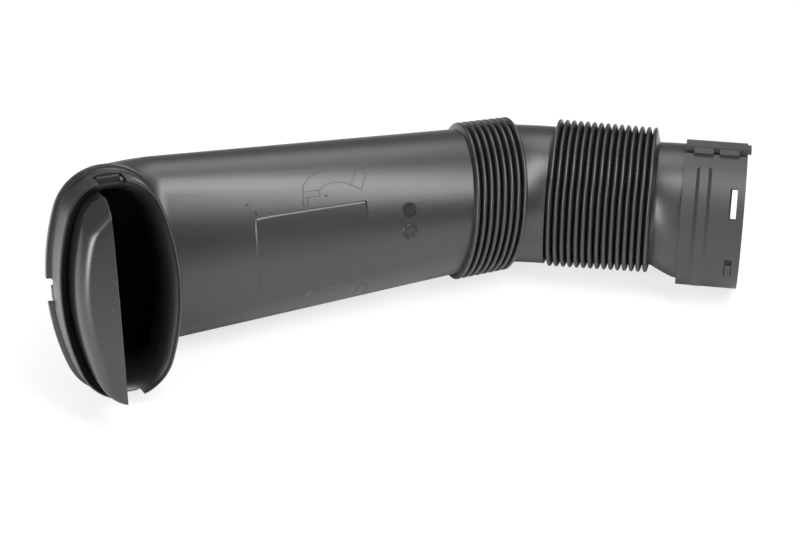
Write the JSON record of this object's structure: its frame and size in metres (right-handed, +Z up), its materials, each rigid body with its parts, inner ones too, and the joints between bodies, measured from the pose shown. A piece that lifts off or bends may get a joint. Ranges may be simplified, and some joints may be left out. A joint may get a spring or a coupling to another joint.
{
  "type": "air intake hose",
  "caption": "Curved car air intake duct: oval bell-mouth inlet with a rain visor, tapering body, two bellows and a latched round coupling collar.",
  "frame": {"origin": "middle of the floor under the hose's box, as it lies at rest", "axes": "+X along the body from the oval mouth to the collar, +Y away from the mouth's opening, +Z up from the floor it lies on"},
  "size_m": [0.4442, 0.1592, 0.1292],
  "materials": {
    "duct_plastic": "satin blow-moulded black polypropylene",
    "frame_plastic": "satin injection-moulded black plastic",
    "collar_plastic": "fine-grained injection-moulded dark grey plastic"
  },
  "bodies": {
    "root": {"air_duct": "duct_plastic", "inlet_frame": "frame_plastic", "coupling_collar": "collar_plastic"}
  },
  "joints": []
}
